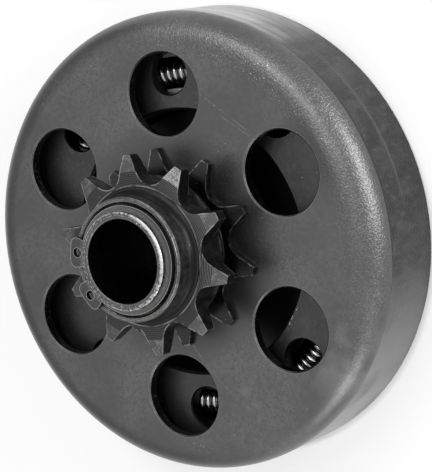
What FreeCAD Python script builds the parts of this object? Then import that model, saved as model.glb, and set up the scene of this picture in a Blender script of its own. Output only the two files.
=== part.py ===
import FreeCAD, Part
import math
import os

# Centrifugal clutch for a small petrol engine.
# Millimetres, +Z along the bore towards the sprocket. The origin lies on the bore's axis, in the plane
# of the drum's open rim, on which the clutch stands. The shoes travel along X.

# Drum: a cup drawn from sheet steel
drum_od = 107.0
drum_depth = 24.6
drum_sheet = 2.8
drum_corner_radius = 6.5
rim_chamfer = 0.4
drum_hole_count = 6
drum_hole_inner_web = 0.9
drum_hole_outer_web = 2.4
drum_hole_turn = 3.8
drum_hole_edge = 0.3

# Hub sleeve: a tube for a 3/4 inch crankshaft
bore_radius = 9.525
sleeve_wall = 1.585
sleeve_end_above_drum = 19.8
sleeve_bore_chamfer = 0.2
sleeve_edge_chamfer = 0.25
groove_depth = 0.6

# Sprocket: ten teeth for a 12.7 mm chain, cut over a front row and a rear end that keys into the drum.
# The front row's gaps run on into a shoulder behind it, which a waist divides from the rear end.
tooth_count = 10
chain_pitch = 12.7
roller_seat_radius = 4.0
tooth_tip_radius = 22.8
tooth_tip_width = 1.9
tooth_turn = -1.6
row_thickness = 4.2
row_front_above_drum = 12.4
tooth_bevel_length = 3.6
tooth_bevel_depth = 0.7
key_end_proud = 1.5
key_end_bevel_depth = 0.25
shoulder_above_seats = 0.85
shoulder_edge = 0.3
seat_run_out = 2.2
waist_width = 3.4
waist_depth = 1.9
waist_fillet = 0.8
collar_lip = 1.7
collar_thickness = 2.8
collar_chamfer = 0.5
boss_wall = 1.36
boss_front_above_drum = 17.85
boss_fillet = 1.8
boss_chamfer = 0.45
boss_bore_chamfer = 0.35
toothed_fit_gap = 0.05

# Bush, washers and retaining ring
bush_wall = 1.6
running_gap = 0.04
press_gap = 0.01
end_float = 0.05
inner_washer_thickness = 1.0
outer_washer_thickness = 1.2
outer_washer_rim_gap = 0.5
washer_edge = 0.15
ring_thickness = 1.07
ring_front_land = 0.75
ring_width = 1.19
ring_offset = 0.75
ring_opening_turn = 170.0
ring_opening_angle = 16.0
ring_groove_gap = 0.03
lug_angle = 29.5
lug_corner_radius = 1.5
lug_hole_radius = 1.1
lug_hole_above_sleeve = 1.8
lug_rim = 0.85

# Driver: the hub's rear part, with a keyway and two tongues that carry the shoes round
driver_rear_z = 0.5
driver_rear_boss_wall = 5.5
driver_disc_rear_z = 3.6
driver_disc_thickness = 6.4
driver_neck_wall = 4.9
driver_neck_fillet = 3.0
driver_edge_chamfer = 0.6
sleeve_press_length = 5.0
keyway_width = 4.76
keyway_height = 2.1
tongue_width = 16.0
tongue_length = 2.6

# Shoes: two half rings. A channel that is open at the rear holds the spring, and round windows in the
# wall before it show the spring between two narrow sills.
shoe_rear_z = 2.8
shoe_front_below_face = 6.3
shoe_width = 19.6
channel_inner_wall = 4.75
channel_width = 7.4
channel_front_wall = 2.8
shoe_travel = 1.0
shoe_wall_gap = 0.3
shoe_end_gap = 3.0
shoe_edge_chamfer = 0.6
shoe_driver_gap = 0.3
tongue_side_gap = 0.3
tongue_end_gap = 0.5
window_count = 8
window_radius = 4.87
window_edge = 0.3
sill_below_channel_roof = 0.2

# Garter spring round both shoes
spring_od = 6.9
spring_seat_gap = 0.15
spring_roof_gap = 0.35

# Heights and radii that follow from the sizes above
face_z = drum_depth
plate_inner_z = face_z - drum_sheet
drum_outer_radius = drum_od / 2
drum_inner_radius = drum_outer_radius - drum_sheet
collar_radius = tooth_tip_radius + collar_lip
drum_hole_inner_edge = collar_radius + drum_hole_inner_web
drum_hole_outer_edge = drum_outer_radius - drum_corner_radius - drum_hole_outer_web
drum_hole_radius = (drum_hole_outer_edge - drum_hole_inner_edge) / 2
drum_hole_circle = (drum_hole_outer_edge + drum_hole_inner_edge) / 2
sleeve_radius = bore_radius + sleeve_wall
sleeve_end_z = face_z + sleeve_end_above_drum
ring_front_z = sleeve_end_z - ring_front_land
ring_rear_z = ring_front_z - ring_thickness
groove_radius = sleeve_radius - groove_depth
ring_outer_radius = sleeve_radius + ring_width
lug_hole_circle = sleeve_radius + lug_hole_above_sleeve
lug_outer_radius = lug_hole_circle + lug_hole_radius + lug_rim
sprocket_rear_z = plate_inner_z - collar_thickness
sprocket_bore_radius = sleeve_radius + running_gap + bush_wall
boss_radius = sprocket_bore_radius + boss_wall
pitch_radius = chain_pitch / (2 * math.sin(math.pi / tooth_count))
seat_bottom_radius = pitch_radius - roller_seat_radius
waist_radius = seat_bottom_radius - waist_depth
shoulder_radius = seat_bottom_radius + shoulder_above_seats
tooth_bevel_start_radius = tooth_tip_radius - tooth_bevel_length
row_front_z = face_z + row_front_above_drum
row_rear_z = row_front_z - row_thickness
ledge_z = row_rear_z - seat_run_out
key_end_z = face_z + key_end_proud
waist_front_z = key_end_z + waist_width
boss_front_z = face_z + boss_front_above_drum
outer_washer_front_z = ring_rear_z - end_float
outer_washer_rear_z = outer_washer_front_z - outer_washer_thickness
bush_front_z = outer_washer_rear_z - end_float
inner_washer_front_z = sprocket_rear_z - end_float
driver_front_z = inner_washer_front_z - inner_washer_thickness - end_float
driver_disc_front_z = driver_disc_rear_z + driver_disc_thickness
driver_rear_boss_radius = bore_radius + driver_rear_boss_wall
driver_neck_radius = sleeve_radius + driver_neck_wall
shoe_face_radius = drum_inner_radius - shoe_wall_gap
shoe_bore_radius = shoe_face_radius - shoe_width
driver_disc_radius = shoe_bore_radius - shoe_driver_gap
sleeve_rear_z = driver_front_z - sleeve_press_length
tongue_end_x = driver_disc_radius + tongue_length
shoe_front_z = face_z - shoe_front_below_face
channel_inner_radius = shoe_bore_radius + channel_inner_wall
channel_outer_radius = channel_inner_radius + channel_width
channel_roof_z = shoe_front_z - channel_front_wall
sill_z = channel_roof_z - sill_below_channel_roof
window_circle = (channel_inner_radius + channel_outer_radius) / 2
spring_circle = channel_inner_radius + spring_seat_gap + spring_od / 2
spring_z = channel_roof_z - spring_roof_gap - spring_od / 2
overcut = 1.0


def at(radius, degrees, z=0.0):
    """The point at a radius and an angle round the bore's axis."""
    turn = math.radians(degrees)
    return FreeCAD.Vector(radius * math.cos(turn), radius * math.sin(turn), z)


def turned_about_z(shape, degrees):
    """A copy of a shape, turned round the bore's axis."""
    copy = shape.copy()
    copy.rotate(FreeCAD.Vector(0, 0, 0), FreeCAD.Vector(0, 0, 1), degrees)
    return copy


def turned_piece(outline):
    """A solid of revolution from its half section, a closed run of (radius, z) corners.

    A corner written as (radius, z, through_radius, through_z) ends an arc that starts at the corner
    before it and passes through the second point."""
    edges = []
    here = outline[-1]
    for corner in outline:
        start = FreeCAD.Vector(here[0], 0, here[1])
        end = FreeCAD.Vector(corner[0], 0, corner[1])
        if len(corner) == 4:
            edges.append(Part.Arc(start, FreeCAD.Vector(corner[2], 0, corner[3]), end).toShape())
        else:
            edges.append(Part.makeLine(start, end))
        here = corner
    face = Part.Face(Part.Wire(edges))
    return face.revolve(FreeCAD.Vector(0, 0, 0), FreeCAD.Vector(0, 0, 1), 360)


def arc_corner(radius, z, centre_radius, centre_z, fillet, side_radius, side_z):
    """An arc's end corner, with the arc's middle on the side of its centre that the signs give."""
    reach = fillet * math.sqrt(0.5)
    return (radius, z, centre_radius + side_radius * reach, centre_z + side_z * reach)


def ring(outer_radius, inner_radius, rear_z, front_z, edge=0.0):
    """A plain ring, with its outer edges broken by a small chamfer."""
    outline = [(inner_radius, rear_z), (outer_radius - edge, rear_z)]
    if edge:
        outline.append((outer_radius, rear_z + edge))
        outline.append((outer_radius, front_z - edge))
    outline.append((outer_radius - edge, front_z))
    outline.append((inner_radius, front_z))
    return turned_piece(outline)


def edged_hole(radius, rear_z, front_z, edge):
    """The cutter for a hole on the axis whose edges at both faces are broken by a small chamfer."""
    rear = (radius + edge + overcut, rear_z - overcut)
    front = (radius + edge + overcut, front_z + overcut)
    return turned_piece([(0, rear[1]), rear, (radius, rear_z + edge), (radius, front_z - edge), front,
                         (0, front[1])])


def toothed_prism(rear_z, front_z, allowance):
    """Ten teeth between two heights. The allowance makes every side stand out by a little, for the
    hole that the teeth fit.

    Each gap is a round roller seat whose two flanks are straight lines to the flat tips, tangent to
    the seat."""
    step = 360 / tooth_count
    seat_radius = roller_seat_radius - allowance
    tip_radius = tooth_tip_radius + allowance
    tip_half_angle = math.degrees((tooth_tip_width / 2 + allowance) / tip_radius)
    edges = []
    for tooth in range(tooth_count):
        middle = tooth_turn + step * tooth
        tip_start = at(tip_radius, middle - tip_half_angle)
        tip_end = at(tip_radius, middle + tip_half_angle)
        next_tip = at(tip_radius, middle + step - tip_half_angle)
        seat_middle = middle + step / 2
        seat_centre = at(pitch_radius, seat_middle)
        to_tip = tip_end - seat_centre
        tangent_turn = math.degrees(math.acos(seat_radius / to_tip.Length))
        to_tip_turn = math.degrees(math.atan2(to_tip.y, to_tip.x))
        flank_end = seat_centre + at(seat_radius, to_tip_turn - tangent_turn)
        to_next = next_tip - seat_centre
        to_next_turn = math.degrees(math.atan2(to_next.y, to_next.x))
        flank_start = seat_centre + at(seat_radius, to_next_turn + tangent_turn)
        seat_bottom = at(pitch_radius - seat_radius, seat_middle)
        edges.append(Part.makeLine(tip_start, tip_end))
        edges.append(Part.makeLine(tip_end, flank_end))
        edges.append(Part.Arc(flank_end, seat_bottom, flank_start).toShape())
        edges.append(Part.makeLine(flank_start, next_tip))
    face = Part.Face(Part.Wire(edges))
    face.translate(FreeCAD.Vector(0, 0, rear_z))
    return face.extrude(FreeCAD.Vector(0, 0, front_z - rear_z))


def bevelled_row(rear_z, front_z, rear_bevel, front_bevel):
    """A row of teeth whose tips are turned off at an angle on each side."""
    slope = 1 / (tooth_tip_radius - tooth_bevel_start_radius)
    outer = tooth_tip_radius + overcut
    reach = (outer - tooth_bevel_start_radius) * slope
    blank = turned_piece([(0, rear_z), (tooth_bevel_start_radius, rear_z),
                          (outer, rear_z + rear_bevel * reach), (outer, front_z - front_bevel * reach),
                          (tooth_bevel_start_radius, front_z), (0, front_z)])
    return toothed_prism(rear_z, front_z, 0).common(blank)


def clutch_drum():
    """The drawn cup: flat face, rounded corner, plain rim, six punched holes and a toothed hole."""
    outer_bend = drum_outer_radius - drum_corner_radius
    bend_z = face_z - drum_corner_radius
    inner_corner = drum_corner_radius - drum_sheet
    cup = turned_piece([
        (0, plate_inner_z),
        (outer_bend, plate_inner_z),
        arc_corner(drum_inner_radius, bend_z, outer_bend, bend_z, inner_corner, 1, 1),
        (drum_inner_radius, rim_chamfer),
        (drum_inner_radius + rim_chamfer, 0),
        (drum_outer_radius - rim_chamfer, 0),
        (drum_outer_radius, rim_chamfer),
        (drum_outer_radius, bend_z),
        arc_corner(outer_bend, face_z, outer_bend, bend_z, drum_corner_radius, 1, 1),
        (0, face_z)])
    hole = edged_hole(drum_hole_radius, plate_inner_z, face_z, drum_hole_edge)
    for index in range(drum_hole_count):
        cutter = hole.copy()
        cutter.translate(at(drum_hole_circle, drum_hole_turn + index * 360 / drum_hole_count))
        cup = cup.cut(cutter)
    return cup.cut(toothed_prism(plate_inner_z - overcut, face_z + overcut, toothed_fit_gap))


def chain_sprocket():
    """One turned and milled piece. The teeth run through the drum's toothed hole up to the collar
    behind it. In front of a turned waist the chain row's gaps end on a narrow ledge in a shoulder."""
    bore = sprocket_bore_radius
    waist_foot = waist_radius + waist_fillet
    boss_foot = boss_radius + boss_fillet
    core = turned_piece([
        (bore, sprocket_rear_z),
        (collar_radius - collar_chamfer, sprocket_rear_z),
        (collar_radius, sprocket_rear_z + collar_chamfer),
        (collar_radius, plate_inner_z),
        (waist_foot, plate_inner_z),
        (waist_foot, key_end_z),
        arc_corner(waist_radius, key_end_z + waist_fillet, waist_foot, key_end_z + waist_fillet,
                   waist_fillet, -1, -1),
        (waist_radius, waist_front_z - waist_fillet),
        arc_corner(waist_foot, waist_front_z, waist_foot, waist_front_z - waist_fillet,
                   waist_fillet, -1, 1),
        (shoulder_radius - shoulder_edge, waist_front_z),
        (shoulder_radius, waist_front_z + shoulder_edge),
        (shoulder_radius, ledge_z),
        (boss_foot, ledge_z),
        (boss_foot, row_front_z),
        arc_corner(boss_radius, row_front_z + boss_fillet, boss_foot, row_front_z + boss_fillet,
                   boss_fillet, -1, -1),
        (boss_radius, boss_front_z - boss_chamfer),
        (boss_radius - boss_chamfer, boss_front_z),
        (bore + boss_bore_chamfer, boss_front_z),
        (bore, boss_front_z - boss_bore_chamfer)])
    key_end = bevelled_row(plate_inner_z, key_end_z, 0, key_end_bevel_depth)
    row = bevelled_row(row_rear_z, row_front_z, tooth_bevel_depth, tooth_bevel_depth)
    shoulder = toothed_prism(ledge_z, row_rear_z, 0).common(Part.makeCylinder(shoulder_radius, row_rear_z))
    bore_cutter = Part.makeCylinder(bore, sleeve_end_z)
    rows = key_end.fuse([row, shoulder]).cut(bore_cutter)
    return core.fuse(rows).removeSplitter()


def sprocket_bush():
    """The plain bearing pressed into the sprocket's bore."""
    return ring(sprocket_bore_radius - press_gap, sleeve_radius + running_gap, sprocket_rear_z,
                bush_front_z)


def outer_thrust_washer():
    """The washer between the bush and the retaining ring, down in the boss."""
    return ring(sprocket_bore_radius - outer_washer_rim_gap, sleeve_radius + running_gap,
                outer_washer_rear_z, outer_washer_front_z, washer_edge)


def inner_thrust_washer():
    """The washer between the driver and the sprocket's rear end."""
    rear_z = driver_front_z + end_float
    return ring(driver_neck_radius, sleeve_radius + running_gap, rear_z, inner_washer_front_z,
                washer_edge)


def retaining_ring():
    """The external ring: widest opposite its opening, with a rounded lug and a plier hole each side."""
    def slab(shape_face):
        shape_face.translate(FreeCAD.Vector(0, 0, ring_rear_z))
        return shape_face.extrude(FreeCAD.Vector(0, 0, ring_thickness))

    def disc(radius, centre):
        return Part.Face(Part.Wire(Part.makeCircle(radius, centre)))

    def sector(radius, start, end):
        corner = FreeCAD.Vector(0, 0, 0)
        rim = Part.Arc(at(radius, start), at(radius, (start + end) / 2), at(radius, end)).toShape()
        sides = [Part.makeLine(corner, at(radius, start)), rim, Part.makeLine(at(radius, end), corner)]
        return Part.Face(Part.Wire(sides))

    body = slab(disc(ring_outer_radius, at(ring_offset, ring_opening_turn + 180)))
    for side in (-1, 1):
        near = ring_opening_turn + side * ring_opening_angle / 2
        far = near + side * lug_angle
        lug = slab(sector(lug_outer_radius, min(near, far), max(near, far)))
        corners = [edge for edge in lug.Edges
                   if abs(edge.Vertexes[0].Z - edge.Vertexes[-1].Z) > ring_thickness / 2
                   and math.hypot(edge.Vertexes[0].X, edge.Vertexes[0].Y) > sleeve_radius]
        body = body.fuse(lug.makeFillet(lug_corner_radius, corners))
    opening_half = ring_opening_angle / 2
    reach = 2 * lug_outer_radius
    body = body.cut(slab(sector(reach, ring_opening_turn - opening_half, ring_opening_turn + opening_half)))
    body = body.cut(slab(disc(groove_radius + ring_groove_gap, FreeCAD.Vector(0, 0, 0))))
    for side in (-1, 1):
        middle = ring_opening_turn + side * (opening_half + lug_angle / 2)
        body = body.cut(slab(disc(lug_hole_radius, at(lug_hole_circle, middle))))
    return body.removeSplitter()


def hub_sleeve():
    """The tube that the sprocket turns on, with its groove for the retaining ring."""
    groove_rear_z = ring_rear_z - end_float
    groove_front_z = ring_front_z + end_float
    return turned_piece([
        (bore_radius, sleeve_rear_z),
        (sleeve_radius, sleeve_rear_z),
        (sleeve_radius, groove_rear_z),
        (groove_radius, groove_rear_z),
        (groove_radius, groove_front_z),
        (sleeve_radius, groove_front_z),
        (sleeve_radius, sleeve_end_z - sleeve_edge_chamfer),
        (sleeve_radius - sleeve_edge_chamfer, sleeve_end_z),
        (bore_radius + sleeve_bore_chamfer, sleeve_end_z),
        (bore_radius, sleeve_end_z - sleeve_bore_chamfer)])


def driver():
    """The hub's rear part: rear boss with the keyway, disc with two tongues, neck round the sleeve."""
    socket_radius = sleeve_radius + press_gap
    neck_foot = driver_neck_radius + driver_neck_fillet
    edge = driver_edge_chamfer
    body = turned_piece([
        (bore_radius + edge, driver_rear_z),
        (driver_rear_boss_radius - edge, driver_rear_z),
        (driver_rear_boss_radius, driver_rear_z + edge),
        (driver_rear_boss_radius, driver_disc_rear_z),
        (driver_disc_radius - edge, driver_disc_rear_z),
        (driver_disc_radius, driver_disc_rear_z + edge),
        (driver_disc_radius, driver_disc_front_z - edge),
        (driver_disc_radius - edge, driver_disc_front_z),
        (neck_foot, driver_disc_front_z),
        arc_corner(driver_neck_radius, driver_disc_front_z + driver_neck_fillet, neck_foot,
                   driver_disc_front_z + driver_neck_fillet, driver_neck_fillet, -1, -1),
        (driver_neck_radius, driver_front_z),
        (socket_radius, driver_front_z),
        (socket_radius, sleeve_rear_z),
        (bore_radius, sleeve_rear_z),
        (bore_radius, driver_rear_z + edge)])
    tongue_bar = Part.makeBox(2 * tongue_end_x, tongue_width, driver_disc_thickness,
                              FreeCAD.Vector(-tongue_end_x, -tongue_width / 2, driver_disc_rear_z))
    tongue_bar = tongue_bar.cut(Part.makeCylinder(driver_disc_radius - edge - overcut, sleeve_end_z))
    keyway = Part.makeBox(bore_radius + keyway_height, keyway_width, sleeve_rear_z + overcut,
                          FreeCAD.Vector(0, -keyway_width / 2, -overcut))
    return body.fuse(tongue_bar).cut(keyway).removeSplitter()


def shoe_on_plus_x():
    """A sintered half ring. Its outer face has the drum's own curve, drawn back by the travel. The
    spring's channel is pressed from the rear, and the windows from the front down to their sills."""
    edge = shoe_edge_chamfer
    blank = ring(shoe_face_radius, 0, shoe_rear_z, shoe_front_z, edge)
    blank.translate(FreeCAD.Vector(-shoe_travel, 0, 0))
    half = Part.makeBox(drum_od, drum_od, drum_depth,
                        FreeCAD.Vector(shoe_end_gap / 2, -drum_od / 2, 0))
    shoe = blank.common(half)
    shoe = shoe.cut(edged_hole(shoe_bore_radius, shoe_rear_z, shoe_front_z, edge))
    shoe = shoe.cut(ring(channel_outer_radius, channel_inner_radius, 0, channel_roof_z))
    window_mouth = window_radius + window_edge + overcut
    window = turned_piece([(0, sill_z), (window_radius, sill_z), (window_radius, shoe_front_z - window_edge),
                           (window_mouth, shoe_front_z + overcut), (0, shoe_front_z + overcut)])
    step = 360 / window_count
    for index in range(window_count // 2):
        cutter = window.copy()
        cutter.translate(at(window_circle, step * (index + 0.5) - 90))
        shoe = shoe.cut(cutter)
    slot_width = tongue_width + 2 * tongue_side_gap
    slot_height = driver_disc_front_z + tongue_end_gap - shoe_rear_z
    slot = Part.makeBox(tongue_end_x + tongue_end_gap, slot_width, slot_height + overcut,
                        FreeCAD.Vector(0, -slot_width / 2, shoe_rear_z - overcut))
    return shoe.cut(slot)


def garter_spring():
    """The closed coil spring, as the plain ring that its coils fill."""
    return Part.makeTorus(spring_circle, spring_od / 2, FreeCAD.Vector(0, 0, spring_z))


shoe_a = shoe_on_plus_x()
nodes = {
    "clutch_drum": clutch_drum(),
    "chain_sprocket": chain_sprocket(),
    "sprocket_bush": sprocket_bush(),
    "outer_thrust_washer": outer_thrust_washer(),
    "retaining_ring": retaining_ring(),
    "inner_thrust_washer": inner_thrust_washer(),
    "hub_sleeve": hub_sleeve(),
    "driver": driver(),
    "shoe_a": shoe_a,
    "shoe_b": turned_about_z(shoe_a, 180),
    "garter_spring": garter_spring(),
}

os.makedirs("parts", exist_ok=True)
for name, shape in nodes.items():
    solid = shape.Solids[0] if len(shape.Solids) == 1 else shape
    solid.exportStep("parts/" + name + ".step")
    box = solid.BoundBox
    print(name, "solids", len(shape.Solids), "valid", solid.isValid(), "volume", round(solid.Volume),
          "z", round(box.ZMin, 2), round(box.ZMax, 2), "x", round(box.XMin, 2), round(box.XMax, 2))
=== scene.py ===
# %% [markdown]
# # A centrifugal clutch, dressed in Blender
#
# The solids of the clutch come from the CAD model and stay where they are. This lesson adds what CAD
# leaves out: the blackened steel with its grain, smears and scratches, the bright worn edges, the
# turned rings on the sprocket, and the wound wire of the garter spring. Lengths are written in
# millimetres, as on a drawing, and turned into Blender's metres where they are used.

# %% Load the model
import math

import bpy
from mathutils import Matrix, Quaternion, Vector


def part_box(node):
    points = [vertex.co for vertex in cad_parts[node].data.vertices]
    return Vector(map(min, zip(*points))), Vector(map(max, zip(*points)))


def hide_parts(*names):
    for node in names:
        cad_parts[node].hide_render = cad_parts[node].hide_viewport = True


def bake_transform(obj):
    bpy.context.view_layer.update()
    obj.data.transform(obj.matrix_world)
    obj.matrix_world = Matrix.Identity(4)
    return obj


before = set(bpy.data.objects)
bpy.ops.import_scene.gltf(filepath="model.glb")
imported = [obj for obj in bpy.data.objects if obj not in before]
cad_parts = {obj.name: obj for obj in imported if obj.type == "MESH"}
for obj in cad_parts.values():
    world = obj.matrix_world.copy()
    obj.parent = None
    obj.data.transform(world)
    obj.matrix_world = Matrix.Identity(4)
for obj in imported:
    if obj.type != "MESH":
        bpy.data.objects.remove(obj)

MM = 0.001
QUARTER_TURN = math.radians(90)
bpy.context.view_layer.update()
print("nodes:", sorted(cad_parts))

# %% [markdown]
# ## The camera
#
# The photographer looked down at the drum's face from about 55 degrees above its plane, with the
# camera turned so that the sprocket points to the left. The place, the point looked at, the turn and
# the lens were worked out from the outlines of the drum, its six holes and the sprocket. A tracking
# constraint would aim the camera too, but it gives no say over the turn. So the camera's axes are
# worked out here and set through its matrix: right, up and backwards, one in each column.

# %% Camera
camera_place = Vector((253.512, -49.193, 369.592)) * MM
looked_at = Vector((8.013, -1.908, 18.736)) * MM
camera_turn = math.radians(106.3506)
lens_mm = 143.589
nearest_seen = 10 * MM

line_of_sight = (looked_at - camera_place).normalized()
level = line_of_sight.cross(Vector((0, 0, 1))).normalized()
upright = level.cross(line_of_sight)
camera_up = upright * math.cos(camera_turn) + level * math.sin(camera_turn)
camera_right = line_of_sight.cross(camera_up)

bpy.ops.object.camera_add()
camera = bpy.context.object
camera.name = "photographer"
camera.data.lens = lens_mm
camera.data.clip_start = nearest_seen
axes = Matrix((camera_right, camera_up, -line_of_sight)).transposed().to_4x4()
camera.matrix_world = Matrix.Translation(camera_place) @ axes
bpy.context.scene.camera = camera
print("camera is", round((looked_at - camera_place).length / MM), "mm from the sprocket")

# %% [markdown]
# ## Two small helpers
#
# Colours are picked as the hex values that an image editor shows, and the renderer wants them linear.
# A material is a net of nodes, which can be joined by hand in the shader editor. In a script, one
# function that adds a node, sets it and plugs in what feeds it keeps each step to a line.

# %% Helpers for colours and nodes
def linear(hex_colour):
    """The linear colour of an sRGB hex value such as "#5c5c5c"."""
    channels = []
    for start in (1, 3, 5):
        value = int(hex_colour[start:start + 2], 16) / 255
        channels.append(value / 12.92 if value <= 0.04045 else ((value + 0.055) / 1.055) ** 2.4)
    return (*channels, 1.0)


def add_node(tree, kind, inputs=None, gives=0, **settings):
    """Adds a node with its settings, fills its inputs with plain values or with what other nodes give,
    and returns the output that is asked for."""
    node = tree.nodes.new(kind)
    for name, value in settings.items():
        setattr(node, name, value)
    for name, value in (inputs or {}).items():
        if isinstance(value, bpy.types.NodeSocket):
            tree.links.new(value, node.inputs[name])
        else:
            node.inputs[name].default_value = value
    return node.outputs[gives] if node.outputs else None


print("#808080 looks half as bright as white, and is", round(linear("#808080")[0], 3), "of its light")

# %% [markdown]
# ## The floor
#
# The clutch was shot on white. A white sky alone would give that background, but only a floor takes
# the soft shadow, so a large plane lies just under the drum's rim.

# %% Lay the floor
floor_half_width = 3.0
floor_gap = 0.05 * MM

bpy.ops.object.select_all(action="DESELECT")
bpy.ops.mesh.primitive_plane_add(size=2 * floor_half_width, location=(0, 0, -floor_gap))
floor = bpy.context.object
floor.name = "floor"
bpy.ops.object.transform_apply(location=True)
print("floor is", 2 * floor_half_width, "m wide")

# %% [markdown]
# The sheet is matt white paper. More lamps would turn it pure white, but they would bleach the steel
# too. So part of its white is a glow that only the camera and reflections see. Under the drum no light
# arrives, so the glow ends at the drum's footprint.

# %% Floor finish
drum_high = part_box("clutch_drum")[1]
footprint_radius = drum_high[0] + 0.5 * MM
footprint_fade = 1 * MM
glow_share = 0.6


def seen_directly(tree):
    """1 for rays from the camera and for reflections, 0 for light on its way to matt surfaces."""
    camera_ray = add_node(tree, "ShaderNodeLightPath", gives="Is Camera Ray")
    glossy_ray = add_node(tree, "ShaderNodeLightPath", gives="Is Glossy Ray")
    clear_ray = add_node(tree, "ShaderNodeLightPath", gives="Is Transmission Ray")
    either = add_node(tree, "ShaderNodeMath", {0: camera_ray, 1: glossy_ray}, operation="MAXIMUM")
    return add_node(tree, "ShaderNodeMath", {0: either, 1: clear_ray}, operation="MAXIMUM")


sheet = bpy.data.materials.new("white_paper_sheet")
sheet.use_nodes = True
tree = sheet.node_tree
tree.nodes.clear()
place = add_node(tree, "ShaderNodeTexCoord", gives="Object")
from_axis = add_node(tree, "ShaderNodeVectorMath", {0: place}, gives="Value", operation="LENGTH")
lit_share = add_node(tree, "ShaderNodeMapRange",
                     {"Value": from_axis, "From Min": footprint_radius,
                      "From Max": footprint_radius + footprint_fade, "To Max": glow_share})
share = add_node(tree, "ShaderNodeMath", {0: seen_directly(tree), 1: lit_share}, operation="MULTIPLY")
matt = add_node(tree, "ShaderNodeBsdfDiffuse", {"Color": linear("#fdfdfd")})
glow = add_node(tree, "ShaderNodeEmission", {"Color": linear("#ffffff"), "Strength": 1.0})
mixed = add_node(tree, "ShaderNodeMixShader", {0: share, 1: matt, 2: glow})
add_node(tree, "ShaderNodeOutputMaterial", {"Surface": mixed})
floor.data.materials.append(sheet)
print("the floor glows from", round(footprint_radius / MM, 1), "mm off the axis")

# %% [markdown]
# ## The backdrop
#
# A curved paper sweep would be the studio's way. Here the world stands in for it: white where the
# camera and the reflections see it, and a little dimmer for the light that it casts, because the
# lamps add the rest.

# %% Backdrop
sky_light = 0.75

world = bpy.data.worlds.new("white_backdrop")
world.use_nodes = True
bpy.context.scene.world = world
tree = world.node_tree
tree.nodes.clear()
strength = add_node(tree, "ShaderNodeMapRange",
                    {"Value": seen_directly(tree), "To Min": sky_light, "To Max": 1.0})
backdrop = add_node(tree, "ShaderNodeBackground", {"Color": linear("#ffffff"), "Strength": strength})
add_node(tree, "ShaderNodeOutputWorld", {"Surface": backdrop})
print("the backdrop lights matt surfaces at", sky_light)

# %% [markdown]
# ## The lamps
#
# Steel shows its lamps. On the drum's rounded corner the photograph shows two long highlights. Lamps
# can be moved about until these look right. But where a highlight lies on a known curve, the direction
# of its lamp follows from the camera's, so the strip and the side box stand at the compass bearing and
# the height that their highlights gave. The upper highlight is long and thin, so its lamp is a strip
# that leans over, which is the roll. The low box only lifts the drum's lower flank.

# %% Soft boxes
soft_box_distance = 0.8
# this many watts for each square metre make a lamp look as bright as a pure white
watts_for_white = 4
soft_boxes = {
    # compass and height in degrees, roll in degrees, width and height in metres, brightness
    "strip_box": (70, 55, 36, 0.20, 0.60, 4.7),
    "side_box": (-3, 12, 0, 0.45, 0.32, 7.5),
    "low_box": (-88, 12, 0, 0.50, 0.30, 2),
}
for name, (compass, height, roll, width, tall, brightness) in soft_boxes.items():
    bearing, rise = math.radians(compass), math.radians(height)
    outward = Vector((math.cos(rise) * math.cos(bearing), math.cos(rise) * math.sin(bearing),
                      math.sin(rise)))
    turned = outward.to_track_quat("Z", "Y") @ Quaternion((0, 0, 1), math.radians(roll))
    bpy.ops.object.light_add(type="AREA", location=outward * soft_box_distance,
                             rotation=turned.to_euler())
    lamp = bpy.context.object
    lamp.name = name
    lamp.data.shape = "RECTANGLE"
    lamp.data.size = width
    lamp.data.size_y = tall
    lamp.data.energy = watts_for_white * brightness * width * tall
    lamp.visible_camera = False
    print(name, "gives", round(lamp.data.energy, 2), "W")

# %% [markdown]
# The drum's far corner is darker in the photograph than the near one, as if something grey stood
# behind it and kept the white of the backdrop off. A darker colour on the steel would look wrong from
# every other side, so a grey card stands there, and the camera doesn't see it.

# %% Grey card
card_compass = math.radians(158)
card_distance = 0.24
card_width = 0.90
card_height = 0.22

bpy.ops.object.select_all(action="DESELECT")
bpy.ops.mesh.primitive_plane_add(size=1, rotation=(QUARTER_TURN, 0, card_compass + QUARTER_TURN),
                                 location=(card_distance * math.cos(card_compass),
                                           card_distance * math.sin(card_compass), card_height / 2))
card = bpy.context.object
card.name = "grey_card"
card.scale = (card_width, card_height, 1)
bpy.ops.object.transform_apply(location=True, rotation=True, scale=True)
card.visible_camera = False
grey = bpy.data.materials.new("grey_card")
grey.use_nodes = True
tree = grey.node_tree
tree.nodes.clear()
glow = add_node(tree, "ShaderNodeEmission", {"Color": linear("#bababa"), "Strength": 1.0})
add_node(tree, "ShaderNodeOutputMaterial", {"Surface": glow})
card.data.materials.append(grey)
print("grey card is", card_width, "by", card_height, "m")

# %% [markdown]
# ## The garter spring
#
# A garter spring is a long close coil of steel wire whose ends are joined, so that it hugs the two
# shoes like a rubber band. CAD keeps it as the plain ring that the coils fill. A pattern of stripes
# could suggest the turns, but their highlights and the dark gaps between them come only from real wire.
# So one half is wound: a small circle, the wire's section, is screwed along a straight line and the
# coil is then bent to a half circle. A whole number of turns makes the two halves meet, because the
# wire leaves one end where it enters the other.

# %% Wind one half of the spring
spring_low, spring_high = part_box("garter_spring")
spring_height = (spring_low[2] + spring_high[2]) / 2
coil_outside = (spring_high[2] - spring_low[2]) / 2
spring_circle = spring_high[0] - coil_outside
wire_radius = 0.78 * MM
half_turns = 68
wire_sides = 10
steps_per_turn = 20

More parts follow.
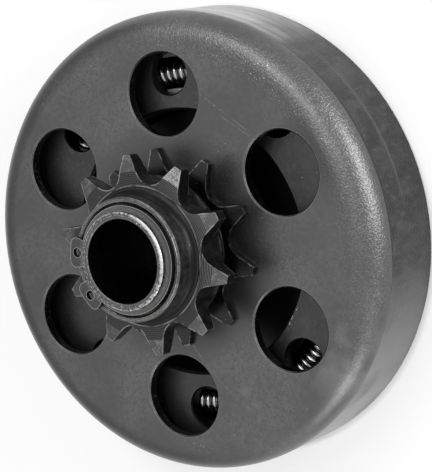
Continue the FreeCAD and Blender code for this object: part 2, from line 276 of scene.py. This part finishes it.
bpy.ops.object.select_all(action="DESELECT")
bpy.ops.mesh.primitive_circle_add(vertices=wire_sides, radius=wire_radius,
                                  location=(0, 0, coil_outside - wire_radius),
                                  rotation=(QUARTER_TURN, 0, 0))
half_a = bpy.context.object
half_a.name = "garter_spring_half_a"
bpy.ops.object.transform_apply(location=True, rotation=True)
winding = half_a.modifiers.new("winding", "SCREW")
winding.axis = "X"
winding.screw_offset = math.pi * spring_circle / half_turns
winding.iterations = half_turns
winding.steps = steps_per_turn
winding.render_steps = steps_per_turn
bpy.ops.object.modifier_apply(modifier=winding.name)

coil_length = half_a.dimensions.x
bending = half_a.modifiers.new("bending", "SIMPLE_DEFORM")
bending.deform_method = "BEND"
bending.deform_axis = "Z"
bending.angle = coil_length / spring_circle
bpy.ops.object.modifier_apply(modifier=bending.name)
print("coil was", round(coil_length / MM, 1), "mm long, is now",
      [round(side / MM, 1) for side in half_a.dimensions])

# %% [markdown]
# The bent coil starts at the origin and comes round to two radii further along Y, so it moves back by one
# radius to lie round the shoe on the +X side. Its open ends are closed, and its faces are turned outwards.
# The other half is a copy, turned round the bore's axis, and lies round the other shoe. The CAD ring of
# the spring is hidden.

# %% Seat both halves
smooth_below = math.radians(60)

bpy.ops.object.select_all(action="DESELECT")
half_a.select_set(True)
bpy.context.view_layer.objects.active = half_a
half_a.location = (0, -spring_circle, spring_height)
bpy.ops.object.transform_apply(location=True)
bpy.ops.object.mode_set(mode="EDIT")
bpy.ops.mesh.select_all(action="SELECT")
bpy.ops.mesh.fill_holes(sides=0)
bpy.ops.mesh.select_all(action="SELECT")
bpy.ops.mesh.normals_make_consistent(inside=False)
bpy.ops.object.mode_set(mode="OBJECT")
bpy.ops.object.shade_smooth_by_angle(angle=smooth_below)
bpy.ops.object.duplicate()
half_b = bpy.context.object
half_b.name = "garter_spring_half_b"
half_b.rotation_euler.z = 2 * QUARTER_TURN
bpy.ops.object.transform_apply(rotation=True)
for half, shoe, reach in ((half_a, "shoe_a", 1), (half_b, "shoe_b", -1)):
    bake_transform(half)
    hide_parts("garter_spring")
    corners = [Vector(corner) for corner in half.bound_box]
    print(half.name, len(half.data.polygons), "faces, x from",
          round(min(corner.x for corner in corners) / MM, 1), "to",
          round(max(corner.x for corner in corners) / MM, 1))

# %% [markdown]
# ## Finishes
#
# Black oxide is a thin layer that grows on steel in a hot salt bath and is then oiled. It keeps the
# metal's own sheen, so it is a metal with a dark colour and not a paint. What the eye sees on top of that
# is fine grain, a slow cloudiness, bright specks, and pale edges, where the steel is worn bare and where a
# highlight is painted along them. Where the lamps don't give the light and shade that the steel shows,
# colour paints them in as painted shade and painted highlight. An image could hold all this, but the steel
# would have to be unfolded first. A pattern worked out from the place of each point needs only the solid.
# It runs from 0 to 1, and a finish lays one colour over another wherever its patterns say so.

# %% Patterns that cover a surface
def per_metre(millimetres):
    """The scale of a texture whose features are this many millimetres across."""
    return 1 / (millimetres * MM)


def blotches(tree, across, low, high, detail=3.0, squeeze=(1, 1, 1)):
    """Blotches this many millimetres across, 0 where the noise is below the low value and 1 where it is
    above the high one. A squeeze above 1 makes them shorter on that axis."""
    place = add_node(tree, "ShaderNodeTexCoord", gives="Object")
    squeezed = add_node(tree, "ShaderNodeMapping", {"Vector": place, "Scale": squeeze})
    noise = add_node(tree, "ShaderNodeTexNoise",
                     {"Vector": squeezed, "Scale": per_metre(across), "Detail": detail}, gives="Fac")
    return add_node(tree, "ShaderNodeMapRange", {"Value": noise, "From Min": low, "From Max": high})


def specks(tree, apart, across):
    """Small round specks, about one to each cell of a grid whose lines are so many millimetres apart."""
    place = add_node(tree, "ShaderNodeTexCoord", gives="Object")
    distance = add_node(tree, "ShaderNodeTexVoronoi", {"Vector": place, "Scale": per_metre(apart)},
                        gives="Distance")
    rim = across / 2 / apart
    return add_node(tree, "ShaderNodeMapRange", {"Value": distance, "From Min": rim,
                                                 "From Max": rim / 2})


def outer_edges(tree, across):
    """1 along outer edges and corners: there, rays sent into the steel soon meet its skin again."""
    flat_face, sharp_edge = 0.92, 0.6
    depth = add_node(tree, "ShaderNodeAmbientOcclusion", {"Distance": across * MM}, gives="AO",
                     inside=True, only_local=True, samples=8)
    return add_node(tree, "ShaderNodeMapRange", {"Value": depth, "From Min": flat_face,
                                                 "From Max": sharp_edge})


print("patterns that cover:", [make.__name__ for make in (blotches, specks, outer_edges)])

# %% [markdown]
# A turned part is told best by its radius and its height, so most marks are placed by these two, and
# by the compass bearing from the bore's axis. Vertices could be painted instead, but the CAD meshes
# have too few of them, and these measures are exact at every point.

# %% Patterns that have a place
def off_axis(tree):
    """The distance from the bore's axis, in metres."""
    place = add_node(tree, "ShaderNodeTexCoord", gives="Object")
    flat = add_node(tree, "ShaderNodeVectorMath", {0: place, 1: (1, 1, 0)}, operation="MULTIPLY")
    return add_node(tree, "ShaderNodeVectorMath", {0: flat}, gives="Value", operation="LENGTH")


def above_floor(tree):
    """The height above the floor, in metres."""
    place = add_node(tree, "ShaderNodeTexCoord", gives="Object")
    return add_node(tree, "ShaderNodeSeparateXYZ", {0: place}, gives="Z")


def facing_up(tree, start, end):
    """0 where the surface faces up by the start value and 1 where it does by the end value, on a scale
    from 0 for a wall to 1 for a level face."""
    outwards = add_node(tree, "ShaderNodeNewGeometry", gives="True Normal")
    upward = add_node(tree, "ShaderNodeSeparateXYZ", {0: outwards}, gives="Z")
    return add_node(tree, "ShaderNodeMapRange", {"Value": upward, "From Min": start, "From Max": end})


def band(tree, length, start, end, fade):
    """1 where a length lies between a start and an end in millimetres, with a soft fade outside them."""
    above = add_node(tree, "ShaderNodeMapRange", {"Value": length, "From Min": (start - fade) * MM,
                                                  "From Max": start * MM})
    below = add_node(tree, "ShaderNodeMapRange", {"Value": length, "From Min": (end + fade) * MM,
                                                  "From Max": end * MM})
    return add_node(tree, "ShaderNodeMath", {0: above, 1: below}, operation="MULTIPLY")


def towards(tree, compass, inner, outer):
    """1 within the inner number of degrees of a compass bearing, fading to 0 at the outer number."""
    place = add_node(tree, "ShaderNodeTexCoord", gives="Object")
    flat = add_node(tree, "ShaderNodeVectorMath", {0: place, 1: (1, 1, 0)}, operation="MULTIPLY")
    unit = add_node(tree, "ShaderNodeVectorMath", {0: flat}, operation="NORMALIZE")
    bearing = (math.cos(math.radians(compass)), math.sin(math.radians(compass)), 0)
    nearness = add_node(tree, "ShaderNodeVectorMath", {0: unit, 1: bearing}, gives="Value",
                        operation="DOT_PRODUCT")
    return add_node(tree, "ShaderNodeMapRange",
                    {"Value": nearness, "From Min": math.cos(math.radians(outer)),
                     "From Max": math.cos(math.radians(inner))})


print("patterns that have a place:", [make.__name__ for make in (facing_up, band, towards)])

# %% [markdown]
# A finish is one metal under one thin film of oil. The oil could be a second shader mixed in, but the
# metal's own shader has a coat for this: its weight says how much of the surface is wet, and its
# roughness how evenly the film lies.

# %% Colour and metal
oil_roughness = 0.3
# the numbers of the colour mixer's sockets: the two colours that go in, and the one that comes out
UNDER, OVER, MIXED = 6, 7, 2


def painted(tree, base, layers):
    """A base colour under layers. A layer is a hex colour and the patterns in whose common places it
    shows."""
    colour = linear(base)
    for hex_colour, share, *others in layers:
        for other in others:
            share = add_node(tree, "ShaderNodeMath", {0: share, 1: other}, operation="MULTIPLY")
        colour = add_node(tree, "ShaderNodeMix", {0: share, UNDER: colour, OVER: linear(hex_colour)},
                          gives=MIXED, data_type="RGBA")
    return colour


def metal(name, make, oiled, relief_mm):
    """A material of one metal. The make function lays down its patterns on the empty tree, and gives
    the shader's colour and roughness, and the pattern that raises the surface by the relief's height."""
    material = bpy.data.materials.new(name)
    material.use_nodes = True
    tree = material.node_tree
    tree.nodes.clear()
    looks, raised = make(tree)
    bump = add_node(tree, "ShaderNodeBump", {"Height": raised, "Distance": relief_mm * MM})
    surface = add_node(tree, "ShaderNodeBsdfPrincipled",
                       {**looks, "Metallic": 1.0, "Normal": bump, "Coat Weight": oiled,
                        "Coat Roughness": oil_roughness})
    add_node(tree, "ShaderNodeOutputMaterial", {"Surface": surface})
    print("finish", name, "has", len(tree.nodes), "nodes")
    return material


def dress(finish, *nodes):
    """Gives CAD nodes one finish all over."""
    for node in nodes:
        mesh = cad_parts[node].data
        mesh.materials.clear()
        mesh.materials.append(finish)


print("every finish has an oil film of roughness", oil_roughness)

# %% [markdown]
# ### The drum's wall
#
# The cup is deep drawn from cold rolled sheet and blackened. The die irons its wall, which comes out
# mottled. The whole wall is painted darker than the face as shade, and darker still along its foot on the
# near side. Both flanks carry a painted reflection in pale smeared bands. A material of its own for the
# wall would end in a hard line at the corner. As layers that know their height, its marks fade into the
# face's finish. Noise that is squeezed along the axis breaks the painted reflection into bands that run
# round the drum, as the photograph shows them.

# %% Drum wall
drum_radius = drum_high[0] / MM
face_height = drum_high[2] / MM
corner_radius = 6.5
corner_height = face_height - corner_radius
below_floor = -1


def wall_layers(tree, height, broken):
    """What lies on the ironed wall, from its rim up to the drum's corner: painted shade with mottle on it,
    and painted reflection on both flanks.
    """
    wall = band(tree, height, below_floor, corner_height, 0.5)
    upper_sheen_flank = towards(tree, 74, 26, 43)
    lower_sheen_flank = towards(tree, -78, 8, 48)
    sheen_patches = blotches(tree, 15, 0.22, 0.48, detail=6)
    streaks = blotches(tree, 12, 0.42, 0.68, detail=5, squeeze=(1, 1, 6))
    upper_sheen_band = band(tree, height, 16.0, 17.4, 0.5)
    middle_sheen_band = band(tree, height, 12.2, 13.8, 0.8)
    sheen_line = band(tree, height, 9.2, 9.4, 0.4)
    near_side_streak = band(tree, height, 10.5, 10.7, 0.7)
    corner_line = band(tree, height, corner_height - 0.2, corner_height + 0.2, 0.3)
    rim = band(tree, height, below_floor, 0.5, 0.4)
    return [
        # painted shade: the whole wall is darker than the face
        ("#2a2a2a", wall),
        ("#3e3e3e", wall, blotches(tree, 7, 0.42, 0.6, detail=5, squeeze=(1, 1, 0.6))),
        ("#484848", wall, blotches(tree, 1.6, 0.52, 0.7, detail=5, squeeze=(1, 1, 0.4))),
        ("#222222", wall, blotches(tree, 2.6, 0.48, 0.66, detail=5, squeeze=(1, 1, 0.5))),
        # painted reflection on both flanks, broken into pale bands and patches
        ("#868686", wall, lower_sheen_flank, sheen_patches),
        ("#949494", wall, upper_sheen_flank, sheen_patches),
        ("#b4b4b4", wall, upper_sheen_flank, sheen_patches, streaks),
        ("#a8a8a8", wall, upper_sheen_flank, sheen_patches, upper_sheen_band),
        ("#bababa", wall, upper_sheen_flank, sheen_patches, middle_sheen_band),
        ("#6a6a6a", wall, upper_sheen_flank, sheen_line, broken),
        # a paler streak round the near side
        ("#505050", wall, towards(tree, 5, 10, 24), near_side_streak),
        ("#2e2e2e", towards(tree, 0, 26, 29), corner_line),
        # painted shade along the foot of the wall on the near side
        ("#222222", rim, towards(tree, 10, 40, 60)),
    ]


print("the wall ends", round(corner_height, 1), "mm above the floor")

# %% [markdown]
# ### The drum's corner and face
#
# Drawing stretches the sheet where it turns from the face into the wall. Its grains stand out there like
# the skin of an orange, and on the side of the lamps pale specks are painted on them as glints. The corner
# is painted paler as a highlight at one bearing and darker as shade on the far side, and the face darker
# as shade round the sprocket. Between the holes lie a darker patch on the near side, and a pale smudge
# lies low on the face. One more noise could make these marks, but it would put them anywhere, and the
# photograph shows each in one place. So each has a radius and a bearing.

# %% Drum corner and face
corner_inner = drum_radius - corner_radius
past_drum = drum_radius + 0.5


def face_layers(tree, radius, broken):
    """Painted glints along the drawn corner, painted highlight and shade on the corner, painted shade
    round the sprocket, and a darker patch and a smudge on the face.
    """
    corner_foot = band(tree, radius, corner_inner - 1.5, corner_inner + 1.5, 1)
    whole_corner = band(tree, radius, corner_inner - 1, past_drum, 1)
    glint_specks = specks(tree, 0.62, 0.26)
    return [
        # painted glints along the foot of the corner, on the side of the lamps
        ("#d4d4d4", corner_foot, towards(tree, 35, 14, 48), glint_specks, broken),
        # painted highlight on the corner at one bearing
        ("#727272", whole_corner, towards(tree, -56, 3, 12), blotches(tree, 7, 0.42, 0.6, detail=6)),
        # painted shade on the far side of the corner
        ("#4a4a4a", band(tree, radius, drum_radius - 2, past_drum, 1.5), towards(tree, -122, 16, 34)),
        ("#4e4e4e", band(tree, radius, drum_radius - 2.5, past_drum, 1.5), towards(tree, 100, 14, 28)),
        # painted shade round the sprocket, a darker patch between two holes on the near side, and a pale
        # smudge low on the face
        ("#4e4e4e", band(tree, radius, 0, 22, 7)),
        ("#4e4e4e", band(tree, radius, 36, 46, 2), towards(tree, 3, 5, 14)),
        ("#6c6c6c", band(tree, radius, 36, 44, 1), towards(tree, -88, 1, 4), broken),
    ]


print("the corner starts", round(corner_inner, 1), "mm off the axis")

# %% [markdown]
# ### The drum's holes, dust and wear
#
# The holes are punched, so their walls are torn. The walls are painted near black as shade, and the edges
# where the punch broke in are painted pale, partly as wear and partly as a highlight.
# Dust sits in loose groups on the face and more densely along the corner. Bright edges could be drawn
# as lines, but rays sent into the steel find them on any solid.

# %% Drum holes, dust and wear
hole_circle = 35
hole_reach = 11


def hole_and_dust_layers(tree, radius, broken):
    """The punched walls of the six holes in painted shade, their edges pale as wear and painted highlight,
    and the dust on face and corner.
    """
    hole_zone = band(tree, radius, hole_circle - hole_reach, hole_circle + hole_reach, 0.2)
    steep = facing_up(tree, 0.85, 0.5)
    torn = blotches(tree, 0.7, 0.56, 0.66)
    dusty_face = blotches(tree, 7, 0.5, 0.62)
    dusty_corner = blotches(tree, 9, 0.52, 0.6)
    corner_zone = band(tree, radius, corner_inner - 1, corner_inner + 5, 1)
    return [
        # painted shade on the hole walls
        ("#181818", hole_zone, steep),
        ("#7c7c7c", hole_zone, steep, torn, broken),
        # pale hole edges: wear and painted highlight
        ("#b4b4b4", hole_zone, outer_edges(tree, 0.3)),
        ("#a8a8a8", specks(tree, 1.9, 0.24), dusty_face),
        ("#b0b0b0", corner_zone, specks(tree, 1.3, 0.26), dusty_corner),
        # pale hole edges: wear and painted highlight
        ("#929292", hole_zone, outer_edges(tree, 0.22), broken),
    ]


print("the holes lie", hole_circle - hole_reach, "to", hole_circle + hole_reach, "mm off the axis")

# %% [markdown]
# ### Scratches
#
# A few long scratches run over the face where something hard slid across it. Grooves this fine would
# need a very dense mesh. So a scratch is a thin line in the colour, placed by its two ends and by how
# far its middle bows off the straight.

# %% Drum scratches
scratches = [
    # start and end on the face (x, y), width and bow in millimetres
    ((24.6, 26.8), (31.9, 13.9), 0.25, 0.0),
    ((27.0, 20.2), (31.6, 13.0), 0.20, 0.0),
    ((12.5, 45.2), (15.9, 40.4), 0.20, 0.0),
    ((-6.7, -22.0), (2.2, -43.9), 0.18, -1.45),
]


def scratch(tree, start, end, across, bow):
    """A scratch between two places on the drum's face, whose middle stands off the straight by the bow."""
    start, end = Vector(start) * MM, Vector(end) * MM
    middle, run = (start + end) / 2, end - start
    half = run.length / 2
    place = add_node(tree, "ShaderNodeTexCoord", gives="Object")
    moved = add_node(tree, "ShaderNodeVectorMath", {0: place, 1: (middle.x, middle.y, 0)},
                     operation="SUBTRACT")
    along = add_node(tree, "ShaderNodeVectorMath",
                     {0: moved, 1: (run.x / run.length, run.y / run.length, 0)}, gives="Value",
                     operation="DOT_PRODUCT")
    aside = add_node(tree, "ShaderNodeVectorMath",
                     {0: moved, 1: (-run.y / run.length, run.x / run.length, 0)}, gives="Value",
                     operation="DOT_PRODUCT")
    squared = add_node(tree, "ShaderNodeMath", {0: along, 1: along}, operation="MULTIPLY")
    straightened = add_node(tree, "ShaderNodeMath", {0: squared, 1: bow * MM / half ** 2, 2: aside},
                            operation="MULTIPLY_ADD")
    in_length = add_node(tree, "ShaderNodeMath", {0: along, 1: 0.0, 2: half}, operation="COMPARE")
    in_width = add_node(tree, "ShaderNodeMath", {0: straightened, 1: bow * MM, 2: across / 2 * MM},
                        operation="COMPARE")
    return add_node(tree, "ShaderNodeMath", {0: in_length, 1: in_width}, operation="MULTIPLY")


print(len(scratches), "scratches")

# %% [markdown]
# ### The drum's finish
#
# The face kept the mill's even skin: fine grain under a slow cloudiness. All the layers go over that in
# order: first the skin, then the wall with its painted shade and reflection, the corner and face with
# their painted glints, highlight and shade and their smudges, the punched holes with their painted shade
# and pale edges, the dust and the scratches. The grain also raises the surface a little, and most of all
# where the corner's orange peel faces the lamps.

# %% Drum finish
peel_share = 0.8


def blackened_sheet(tree):
    radius = off_axis(tree)
    height = above_floor(tree)
    cloud = blotches(tree, 14, 0.35, 0.65, detail=4)
    mottle = blotches(tree, 1.3, 0.35, 0.65)
    grain = blotches(tree, 0.45, 0.4, 0.75, detail=2)
    broken = blotches(tree, 2.2, 0.45, 0.6, detail=4)
    corner = band(tree, radius, corner_inner - 2, past_drum, 1.5)
    layers = [
        ("#646464", cloud),
        ("#585858", mottle),
        ("#707070", grain, cloud),
        *wall_layers(tree, height, broken),
        *face_layers(tree, radius, broken),
        *hole_and_dust_layers(tree, radius, broken),
        *[("#848484", scratch(tree, *marks), grain) for marks in scratches],
    ]
    roughness = add_node(tree, "ShaderNodeMapRange", {"Value": grain, "To Min": 0.34, "To Max": 0.42})
    peeled = add_node(tree, "ShaderNodeMath", {0: corner, 1: towards(tree, 5, 45, 80)},
                      operation="MULTIPLY")
    peel = add_node(tree, "ShaderNodeMath", {0: peeled, 1: peel_share, 2: 1 - peel_share},
                    operation="MULTIPLY_ADD")
    raised = add_node(tree, "ShaderNodeMath", {0: peel, 1: grain}, operation="MULTIPLY")
    return {"Base Color": painted(tree, "#5c5c5c", layers), "Roughness": roughness}, raised


sheet_steel = metal("black_oxide_on_drawn_sheet", blackened_sheet, oiled=0.2, relief_mm=0.06)
dress(sheet_steel, "clutch_drum")

# %% [markdown]
# ### The sprocket's front row
#
# The sprocket is turned and milled from bar. The lathe tool leaves fine rings on the flat of the front
# row, and the tips of the teeth, turned off at an angle in a second cut, came out smoother and paler.
# The rings could be cut into the solid, at the cost of thousands of faces. A wave texture that runs
# out from the axis gives the same light. The real rings are about 0.3 mm apart, and they are drawn at
# 0.42 mm so that they show.

# %% Sprocket front row
turned_ring_pitch = 0.42
# the distance in metres between the crests of a wave texture whose scale is 1
plain_wave_length = math.pi / 10
row_front = face_height + 12.4
web_inner = 15.9
bevel_start = 19.2
past_teeth = 25


def row_layers(tree, radius, height, level, rings, grain, patches):
    """The web with its turned rings, painted paler towards one side as a highlight, a pale line at the
    foot of the boss painted as a highlight, and the bevelled teeth, with a painted highlight at one
    bearing.
    """
    row = band(tree, height, row_front - 0.8, row_front + 0.6, 0.1)
    web = band(tree, radius, web_inner, bevel_start, 0.1)
    bevel = band(tree, radius, bevel_start, past_teeth, 0.1)
    web_foot_highlight = band(tree, radius, web_inner - 0.1, web_inner + 0.15, 0.1)
    return [
        ("#2a2a2a", row, level, web),
        ("#484848", row, level, web, rings),
        # painted highlight: the rings paler towards one side
        ("#707070", row, level, web, rings, towards(tree, -10, 25, 60)),
        # painted highlight along the foot of the boss
        ("#8c8c8c", row, level, web_foot_highlight, blotches(tree, 4, 0.35, 0.55)),
        ("#565656", row, level, bevel),
        ("#7a7a7a", row, level, bevel, patches, grain),
        # painted highlight on the bevels at one bearing
        ("#9c9c9c", row, level, bevel, towards(tree, 33, 5, 12), grain),
    ]


print("the front row's face is", round(row_front, 1), "mm above the floor")

# %% [markdown]
# ### The sprocket's finish
#
# Behind the front row the milled seats and the waist keep the dark base, and the toothed rear end is
# painted darker still as the shade of the front row. In front of it stands the boss, whose side is
# mottled, whose foot is painted near black as shade, and whose rim is pale, worn bright and painted as a
# highlight. The edges of the teeth are pale in the same way. The rings are raised too, so the light runs
# round the web with them as it does on the real one.

# %% Sprocket finish
ledge_height = 30.6
toothed_end = face_height + 1.5
past_top = 50


def blackened_bar(tree):
    radius = off_axis(tree)
    height = above_floor(tree)
    level = facing_up(tree, 0.9, 0.96)
    place = add_node(tree, "ShaderNodeTexCoord", gives="Object")
    rings = add_node(tree, "ShaderNodeTexWave",
                     {"Vector": place, "Scale": per_metre(turned_ring_pitch) * plain_wave_length},
                     gives="Fac", wave_type="RINGS", rings_direction="Z")
    grain = blotches(tree, 0.5, 0.35, 0.7, detail=2)
    patches = blotches(tree, 2.0, 0.48, 0.6, detail=5)
    ledge = band(tree, height, ledge_height - 0.2, ledge_height + 0.2, 0.1)
    key_end = band(tree, height, toothed_end - 0.2, toothed_end + 0.2, 0.1)
    boss = band(tree, radius, 9, 15.6, 0.2)
    above_row = band(tree, height, row_front + 0.4, past_top, 0.4)
    boss_foot = band(tree, radius, 14.3, 15.7, 0.2)
    boss_fillet = band(tree, height, row_front, row_front + 2.2, 0.4)
    layers = [
        ("#3c3c3c", patches),
        *row_layers(tree, radius, height, level, rings, grain, patches),
        ("#505050", level, ledge),
        # painted shade on the toothed rear end under the front row
        ("#363636", level, key_end),
        ("#161616", level, key_end, band(tree, radius, 10, 18, 1)),
        ("#3c3c3c", boss, above_row),
        ("#626262", boss, above_row, blotches(tree, 1.4, 0.4, 0.7, detail=5)),
        # painted shade where the boss meets the web
        ("#101010", boss_foot, boss_fillet),
        ("#5a5a5a", boss, above_row, level),
        ("#9a9a9a", specks(tree, 1.3, 0.22), patches),
        # pale edges and rim: wear and painted highlight
        ("#a2a2a2", outer_edges(tree, 0.35), blotches(tree, 1.8, 0.42, 0.58)),
        ("#e4e4e4", outer_edges(tree, 0.6), above_row, grain),
    ]
    roughness = add_node(tree, "ShaderNodeMapRange", {"Value": patches, "To Min": 0.42, "To Max": 0.34})
    raised = add_node(tree, "ShaderNodeMath", {0: grain, 1: 0.5, 2: rings}, operation="MULTIPLY_ADD")
    return {"Base Color": painted(tree, "#1e1e1e", layers), "Roughness": roughness}, raised


bar_steel = metal("black_oxide_on_turned_bar", blackened_bar, oiled=0.25, relief_mm=0.03)
dress(bar_steel, "chain_sprocket")

# %% [markdown]
# ### The sleeve
#
# The sleeve is ground tube, bright on its end where the lathe faced it, and painted near black down in the
# bore as shade. Its end face is only 1.6 mm wide, but few things in the photograph are brighter. Fine pale
# lines run all round its rounded edge as a painted highlight, and a white glint lies on the side of the
# lamps. Sharper lamps would give the glint too, but also on everything else, so the steel is laid in paler
# on that side as a painted highlight.

# %% Sleeve finish
in_bore = 9
inner_lip = 9.8
face_line = 10.3
sleeve_middle = 10.45
glint_start = 10.6
outer_lip = 10.8
past_sleeve = 12


def ground_tube(tree):
    radius = off_axis(tree)
    grain = blotches(tree, 0.6, 0.4, 0.65)
    end_face = facing_up(tree, 0.3, 0.6)
    outer_half = band(tree, radius, sleeve_middle - 0.05, past_sleeve, 0.1)
    glint = band(tree, radius, glint_start, past_sleeve, 0.15)
    layers = [
        ("#4c4c4c", end_face),
        ("#646464", end_face, grain),
        # painted highlight: pale lines along the rounded edge
        ("#d0d0d0", end_face, band(tree, radius, outer_lip, past_sleeve, 0.1), grain),
        ("#a4a4a4", end_face, band(tree, radius, face_line, sleeve_middle, 0.05), grain),
        ("#646464", end_face, band(tree, radius, in_bore, inner_lip, 0.3)),
        # painted highlight on the side of the lamps
        ("#b4b4b4", end_face, outer_half, towards(tree, -35, 45, 75), grain),
        ("#dcdcdc", end_face, glint, towards(tree, 0, 18, 50)),
        ("#e8e8e8", end_face, specks(tree, 0.9, 0.3)),
        ("#b4b4b4", outer_edges(tree, 0.25), grain),
    ]
    roughness = add_node(tree, "ShaderNodeMapRange", {"Value": grain, "To Min": 0.25, "To Max": 0.4})
    # the bore and the sides keep the near black base as painted shade
    return {"Base Color": painted(tree, "#2a2a2a", layers), "Roughness": roughness}, grain


tube_steel = metal("ground_steel_tube", ground_tube, oiled=0.3, relief_mm=0.03)
dress(tube_steel, "hub_sleeve")

# %% [markdown]
# ### Bush, washers and ring
#
# The bush is sintered bronze, brown and full of pores that hold its oil. The washers are soft steel,
# painted near black as the shade in the gap under the ring. The retaining ring is stamped from spring
# steel and phosphated to a flat grey that is darker on the lugs. Its sides are painted near black as
# shade, and its sheared edge is pale, worn bright and painted as a highlight. One metal for all would be
# simpler, but the eye tells these pieces apart by just such small differences.

# %% Bush, washers and ring finishes
lug_start = 12.4
past_lugs = 17


def sintered_bronze(tree):
    pores = specks(tree, 0.5, 0.25)
    grain = blotches(tree, 0.8, 0.3, 0.7)
    return {"Base Color": painted(tree, "#4c4234", [("#221c14", pores)]), "Roughness": 0.5}, grain


def soft_washer(tree):
    grain = blotches(tree, 0.7, 0.35, 0.65)
    layers = [("#3a3a3a", grain), ("#848484", outer_edges(tree, 0.2), grain)]
    # painted shade: the washers near black
    return {"Base Color": painted(tree, "#2a2a2a", layers), "Roughness": 0.4}, grain


def phosphated_ring(tree):
    radius = off_axis(tree)
    grain = blotches(tree, 0.6, 0.4, 0.7)
    level = facing_up(tree, 0.5, 0.8)
    layers = [
        ("#545454", level),
        ("#606060", level, blotches(tree, 4, 0.4, 0.7)),
        ("#6c6c6c", level, grain),
        ("#4e4e4e", level, band(tree, radius, lug_start, past_lugs, 0.3)),
        # pale sheared edge: wear and painted highlight
        ("#b0b0b0", level, outer_edges(tree, 0.2)),
    ]
    # painted shade: the ring's sides keep the near black base
    return {"Base Color": painted(tree, "#1c1c1c", layers), "Roughness": 0.42}, grain


bronze = metal("oiled_sintered_bronze", sintered_bronze, oiled=0.5, relief_mm=0.02)
washer_steel = metal("soft_steel_in_painted_shade", soft_washer, oiled=0.6, relief_mm=0.02)
ring_steel = metal("phosphated_spring_steel", phosphated_ring, oiled=0.2, relief_mm=0.02)
dress(bronze, "sprocket_bush")
dress(washer_steel, "outer_thrust_washer", "inner_thrust_washer")
dress(ring_steel, "retaining_ring")

# %% [markdown]
# ### Driver and shoes
#
# Both are pressed from iron powder and sintered, which leaves a matt skin with fine pores. They wear no
# finish but oil, and the driver, deep in the drum, carries the most of it. Little light comes through the
# six holes. Lamps inside the drum would light what the photograph leaves dark, so colour paints the light
# and shade in. The walls of the shoes' windows and their sills are painted near black as shade, the one
# sill that catches the light is painted paler as a highlight, and pale specks lie along the bore's edge in
# one hole.

# %% Driver and shoe finishes
window_inner = 33
window_outer = 45
sill_height = 15.3
bore_edge = 31.3


def sintered_shoe(tree):
    radius = off_axis(tree)
    height = above_floor(tree)
    level = facing_up(tree, 0.5, 0.8)
    not_level = facing_up(tree, 0.95, 0.85)
    grain = blotches(tree, 0.7, 0.3, 0.7)
    window_zone = band(tree, radius, window_inner, window_outer, 0.3)
    sill = band(tree, height, sill_height - 0.3, sill_height + 0.3, 0.2)
    bore_edge_zone = band(tree, radius, bore_edge, bore_edge + 0.5, 0.2)
    layers = [
        ("#4c4c4c", blotches(tree, 9, 0.35, 0.7, detail=4)),
        ("#505050", blotches(tree, 1.2, 0.5, 0.7)),
        ("#343434", specks(tree, 0.9, 0.25)),
        ("#9a9a9a", specks(tree, 2.0, 0.34), blotches(tree, 5, 0.45, 0.6)),
        ("#6a6a6a", outer_edges(tree, 0.3), blotches(tree, 1.2, 0.4, 0.6)),
        # painted shade on the window walls and the sills
        ("#141414", not_level, window_zone),
        ("#181818", level, sill),
        # painted highlight on the sill that catches the light
        ("#8c8c8c", level, sill, towards(tree, 64, 20, 30)),
        ("#b4b4b4", level, bore_edge_zone, towards(tree, -57, 3, 6), specks(tree, 0.8, 0.5)),
    ]
    return {"Base Color": painted(tree, "#444444", layers), "Roughness": 0.45}, grain


def oily_driver(tree):
    grain = blotches(tree, 0.8, 0.3, 0.7)
    layers = [
        ("#303030", blotches(tree, 5, 0.4, 0.7)),
        ("#6a6a6a", outer_edges(tree, 0.4), grain),
    ]
    return {"Base Color": painted(tree, "#242424", layers), "Roughness": 0.4}, grain


shoe_iron = metal("sintered_iron_shoe", sintered_shoe, oiled=0.15, relief_mm=0.02)
driver_iron = metal("oily_sintered_iron", oily_driver, oiled=0.6, relief_mm=0.04)
dress(shoe_iron, "shoe_a", "shoe_b")
dress(driver_iron, "driver")

# %% [markdown]
# ### Spring wire
#
# Spring wire is drawn through dies, which polishes it along its length. Oil makes it glossier still,
# so each turn shows one sharp bright highlight, and mirrors the dark channel beside it. The wire's
# round section does that by itself, so the finish is only a pale metal with a low roughness.

# %% Spring finish
def drawn_wire(tree):
    grain = blotches(tree, 0.9, 0.3, 0.7)
    layers = [("#8c8c8c", blotches(tree, 3.0, 0.45, 0.65))]
    return {"Base Color": painted(tree, "#b8b8b8", layers), "Roughness": 0.2}, grain


wire_finish = metal("polished_drawn_wire", drawn_wire, oiled=0.5, relief_mm=0.01)
for half in (half_a, half_b):
    half.data.materials.append(wire_finish)

# %% [markdown]
# ## Close
#
# The picture is shown as rendered, because any other view setting would shift the greys.

# %% Show the picture as rendered
bpy.context.scene.view_settings.view_transform = "Standard"
